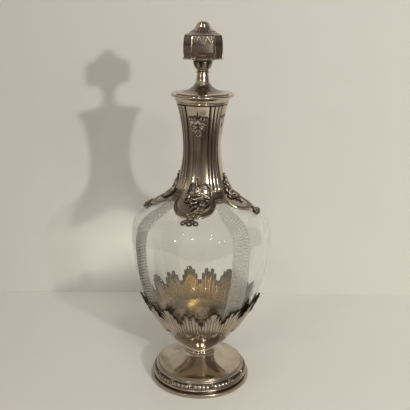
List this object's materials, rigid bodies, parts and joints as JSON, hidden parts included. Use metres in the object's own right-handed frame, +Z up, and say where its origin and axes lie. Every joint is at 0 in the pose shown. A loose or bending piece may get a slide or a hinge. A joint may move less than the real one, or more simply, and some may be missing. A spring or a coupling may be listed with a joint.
{
  "type": "silver-mounted glass carafe",
  "caption": "Tall glass carafe on a round silver foot, with a calyx of silver leaves, a reeded silver neck mount with lappets and a lift-out stopper with a square finial.",
  "frame": {"origin": "centre of the foot's underside", "axes": "+Z up along the carafe's axis, -Y towards the front lappet and its cartouche, +X to the right"},
  "size_m": [0.114, 0.114, 0.3],
  "materials": {
    "silver": "polished silver, warm, lightly tarnished",
    "chased_silver": "chased silver, polished on the high parts and dark in the hollows",
    "clear_glass": "clear blown glass with four frosted engraved bands",
    "bedding": "amber rosin bedding, lightly mottled",
    "cork": "natural cork, fine grain",
    "brass": "plain turned brass"
  },
  "bodies": {
    "carafe": {"glass_body": "clear_glass", "foot_flange": "silver", "foot_border": "chased_silver", "foot_dome": "silver", "stem_collar": "silver", "calyx_bowl": "silver", "calyx_cement": "bedding", "foot_stud": "brass", "foot_washer": "brass", "foot_nut": "brass", "crown_leaf_01": "chased_silver", "crown_leaf_02": "chased_silver", "crown_leaf_03": "chased_silver", "crown_leaf_04": "chased_silver", "crown_leaf_05": "chased_silver", "crown_leaf_06": "chased_silver", "crown_leaf_07": "chased_silver", "crown_leaf_08": "chased_silver", "crown_leaf_09": "chased_silver", "crown_leaf_10": "chased_silver", "crown_leaf_11": "chased_silver", "crown_leaf_12": "chased_silver", "crown_leaf_13": "chased_silver", "crown_leaf_14": "chased_silver", "crown_leaf_15": "chased_silver", "crown_leaf_16": "chased_silver", "neck_sleeve": "silver", "shoulder_skirt": "chased_silver", "rim_collar": "silver", "neck_cement": "bedding", "cartouche_1": "chased_silver", "cartouche_2": "chased_silver", "cartouche_3": "chased_silver", "cartouche_4": "chased_silver", "pendant_1": "chased_silver", "pendant_2": "chased_silver", "pendant_3": "chased_silver", "pendant_4": "chased_silver"},
    "stopper_plug": {"stopper_cork": "cork"},
    "stopper_top": {"stopper_flange": "silver", "stopper_stem": "silver", "finial_bowl": "silver", "finial_body": "silver", "finial_knob": "silver", "stopper_rod": "brass", "cork_washer": "brass", "cork_nut": "brass"}
  },
  "joints": [
    {"name": "stopper_lift", "type": "slide", "parent": "carafe", "child": "stopper_plug", "axis": [0, 0, 1], "range_m": [0, 0.05]},
    {"name": "stopper_turn", "type": "hinge", "parent": "stopper_plug", "child": "stopper_top", "pos_m": [0, 0, 0.245], "axis": [0, 0, 1], "continuous": true}
  ]
}
